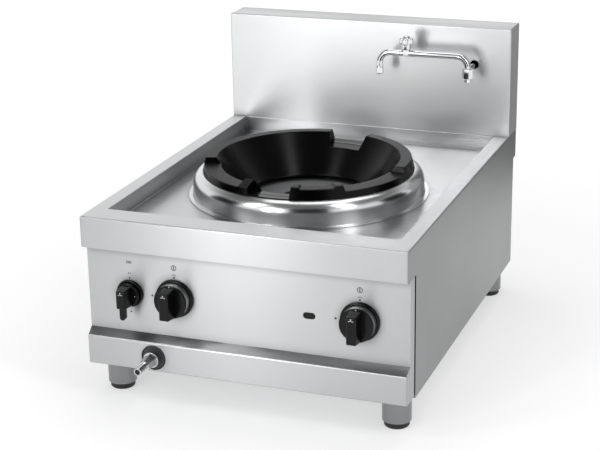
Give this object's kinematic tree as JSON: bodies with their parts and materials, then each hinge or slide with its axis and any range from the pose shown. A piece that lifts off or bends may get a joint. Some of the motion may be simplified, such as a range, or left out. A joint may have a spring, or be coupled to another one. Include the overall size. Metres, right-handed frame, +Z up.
{
  "type": "wok range",
  "caption": "Free-standing gas wok range: drained basin, lift-off cast wok ring on a domed collar, splashback with swivel spout, front knobs and drain outlet.",
  "frame": {"origin": "on the floor, in the middle of the length and width, pipe ends included", "axes": "+X to the right, +Y to the back, +Z up"},
  "size_m": [0.6, 0.851, 0.563],
  "materials": {
    "stainless_sheet": "brushed stainless steel sheet",
    "galvanised_sheet": "galvanised steel sheet",
    "spun_stainless": "spun stainless steel, satin",
    "plate_steel": "heat-dulled steel plate",
    "leg_steel": "brushed stainless tube",
    "black_plastic": "black moulded thermoset",
    "silver_band": "satin silver band",
    "cast_iron": "black cast iron, smooth matt coating",
    "brass": "turned brass",
    "steel_shaft": "turned steel",
    "steel_pipe": "steel pipe",
    "copper_pipe": "soft copper tube",
    "chrome": "polished chrome plate",
    "foot_plastic": "black moulded plastic",
    "drain_steel": "satin stainless fitting",
    "drain_plastic": "black moulded plastic",
    "sight_glass": "clear sight glass"
  },
  "bodies": {
    "cabinet": {"base_tray": "galvanised_sheet", "basin_floor": "stainless_sheet", "basin_upstand": "stainless_sheet", "burner_bracket": "galvanised_sheet", "burner_cap": "brass", "burner_head": "cast_iron", "burner_plate": "plate_steel", "burner_well": "spun_stainless", "drain_flange": "drain_steel", "drain_nut": "drain_plastic", "drain_pipe": "drain_plastic", "drain_strainer": "drain_steel", "drain_tail": "drain_steel", "front_casing": "stainless_sheet", "gas_manifold": "steel_pipe", "gas_tap_left": "brass", "gas_tap_right": "brass", "injector_pipe_left": "copper_pipe", "injector_pipe_right": "copper_pipe", "injectors": "brass", "knob_bezel_left": "black_plastic", "knob_bezel_lever": "black_plastic", "knob_bezel_right": "black_plastic", "leg_tubes": "leg_steel", "mixing_tubes": "cast_iron", "pilot_burner": "steel_shaft", "pilot_pipe": "copper_pipe", "rear_panel": "stainless_sheet", "side_panel_left": "stainless_sheet", "side_panel_right": "stainless_sheet", "sight_glass": "sight_glass", "splashback": "stainless_sheet", "splashback_back_plate": "stainless_sheet", "spout_wall_fitting": "brass", "swivel_body": "chrome", "thermocouple": "steel_shaft", "thermocouple_lead": "copper_pipe", "water_feed_pipe": "steel_pipe", "water_inlet_pipe": "steel_pipe", "water_valve_body": "brass", "worktop_rims": "stainless_sheet"},
    "burner_collar": {"burner_collar": "spun_stainless"},
    "wok_ring": {"wok_ring": "cast_iron"},
    "tap_plunger_left": {"tap_plunger_left": "brass"},
    "tap_plunger_right": {"tap_plunger_right": "brass"},
    "knob_left": {"knob_left": "black_plastic", "knob_band_left": "silver_band", "tap_spindle_left": "steel_shaft"},
    "knob_right": {"knob_right": "black_plastic", "knob_band_right": "silver_band", "tap_spindle_right": "steel_shaft"},
    "water_lever": {"water_lever": "black_plastic", "water_valve_spindle": "steel_shaft"},
    "spout": {"spout_pipe": "chrome", "spout_nozzle": "chrome"},
    "stop_valve_handle": {"stop_valve_handle": "chrome"},
    "foot_front_left": {"foot_front_left": "foot_plastic"},
    "foot_front_right": {"foot_front_right": "foot_plastic"},
    "foot_rear_left": {"foot_rear_left": "foot_plastic"},
    "foot_rear_right": {"foot_rear_right": "foot_plastic"}
  },
  "joints": [
    {"name": "collar_lift", "type": "slide", "parent": "cabinet", "child": "burner_collar", "axis": [0, 0, 1], "range_m": [0, 0.03]},
    {"name": "ring_lift", "type": "slide", "parent": "burner_collar", "child": "wok_ring", "axis": [0, 0, 1], "range_m": [0, 0.055]},
    {"name": "knob_left_push", "type": "slide", "parent": "cabinet", "child": "tap_plunger_left", "axis": [0, 1, 0], "range_m": [0, 0.003], "stiffness_N_per_m": 300},
    {"name": "knob_left_turn", "type": "hinge", "parent": "tap_plunger_left", "child": "knob_left", "pos_m": [-0.1312, -0.3425, 0.202], "axis": [0, -1, 0], "range_deg": [0, 90]},
    {"name": "knob_right_push", "type": "slide", "parent": "cabinet", "child": "tap_plunger_right", "axis": [0, 1, 0], "range_m": [0, 0.003], "stiffness_N_per_m": 300},
    {"name": "knob_right_turn", "type": "hinge", "parent": "tap_plunger_right", "child": "knob_right", "pos_m": [0.21, -0.3425, 0.202], "axis": [0, -1, 0], "range_deg": [0, 90]},
    {"name": "lever_turn", "type": "hinge", "parent": "cabinet", "child": "water_lever", "pos_m": [-0.2175, -0.3425, 0.202], "axis": [0, -1, 0], "range_deg": [0, 90]},
    {"name": "spout_swing", "type": "hinge", "parent": "cabinet", "child": "spout", "pos_m": [0.226, 0.2925, 0.482], "axis": [0, 0, 1], "range_deg": [0, 180]},
    {"name": "stop_valve_turn", "type": "hinge", "parent": "spout", "child": "stop_valve_handle", "pos_m": [0.1, 0.2925, 0.515], "axis": [0, 0, 1], "range_deg": [0, 90]},
    {"name": "foot_front_left_adjust", "type": "slide", "parent": "cabinet", "child": "foot_front_left", "axis": [0, 0, -1], "range_m": [0, 0.025]},
    {"name": "foot_front_right_adjust", "type": "slide", "parent": "cabinet", "child": "foot_front_right", "axis": [0, 0, -1], "range_m": [0, 0.025]},
    {"name": "foot_rear_left_adjust", "type": "slide", "parent": "cabinet", "child": "foot_rear_left", "axis": [0, 0, -1], "range_m": [0, 0.025]},
    {"name": "foot_rear_right_adjust", "type": "slide", "parent": "cabinet", "child": "foot_rear_right", "axis": [0, 0, -1], "range_m": [0, 0.025]}
  ]
}
